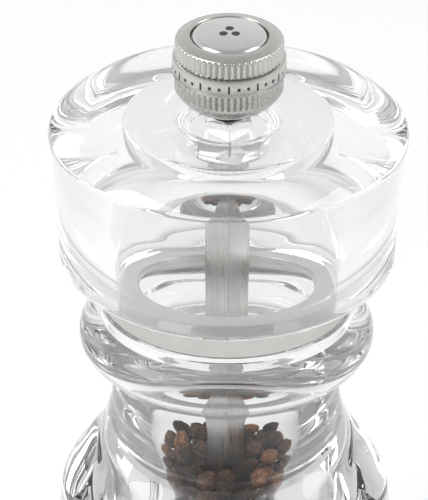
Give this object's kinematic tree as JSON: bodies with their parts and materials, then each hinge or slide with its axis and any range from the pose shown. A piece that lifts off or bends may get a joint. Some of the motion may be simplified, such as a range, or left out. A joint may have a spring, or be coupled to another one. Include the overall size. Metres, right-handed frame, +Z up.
{
  "type": "pepper mill",
  "caption": "Clear acrylic hand pepper mill with a knurled steel knob, a steel collar, a square spindle and a conical burr grinder.",
  "frame": {"origin": "middle of the base, on the surface that the mill stands on", "axes": "+Z up along the spindle, towards the knob; the spindle's flats are turned 48 degrees from +X at rest"},
  "size_m": [0.059, 0.059, 0.1242],
  "materials": {
    "clear_acrylic": "clear, polished",
    "satin_steel": "satin, knurled on the knob",
    "polished_steel": "polished",
    "brushed_steel": "brushed along the bar",
    "brass": "turned",
    "black_nylon": "moulded",
    "white_nylon": "moulded",
    "burr_steel": "hardened, cut teeth",
    "spring_steel": "drawn wire",
    "screw_steel": "plated",
    "pepper": "dry whole peppercorns"
  },
  "bodies": {
    "base": {"body": "clear_acrylic", "peppercorns": "pepper", "mechanism_housing": "white_nylon", "bearing_spider": "white_nylon", "stator": "burr_steel", "housing_screw_1": "screw_steel", "housing_screw_2": "screw_steel", "housing_screw_3": "screw_steel"},
    "drive": {"spindle_bush": "black_nylon", "bush_clip": "brushed_steel", "adjusting_spring": "spring_steel"},
    "grinding_shaft": {"spindle": "brushed_steel", "rotor": "burr_steel", "rotor_washer": "brushed_steel", "rotor_screw": "screw_steel"},
    "top": {"head": "clear_acrylic", "head_collar": "satin_steel", "thrust_washer": "black_nylon"},
    "knob": {"knob_shell": "satin_steel", "knob_badge": "polished_steel", "knob_nut": "brass"}
  },
  "joints": [
    {"name": "mill_turn", "type": "hinge", "parent": "base", "child": "drive", "pos_m": [0, 0, 0], "axis": [0, 0, 1], "continuous": true},
    {"name": "head_lift", "type": "slide", "parent": "drive", "child": "top", "axis": [0, 0, 1], "range_m": [0, 0.05]},
    {"name": "knob_turn", "type": "hinge", "parent": "top", "child": "knob", "pos_m": [0, 0, 0.109], "axis": [0, 0, 1], "range_deg": [0, 720]},
    {"name": "grind_adjust", "type": "slide", "parent": "drive", "child": "grinding_shaft", "axis": [0, 0, -1], "range_m": [0, 0.0016], "deforming": ["adjusting_spring"]}
  ],
  "couplings": [
    {"joint": "knob_turn", "follows": "grind_adjust", "rad_per_m": 7853.9}
  ]
}
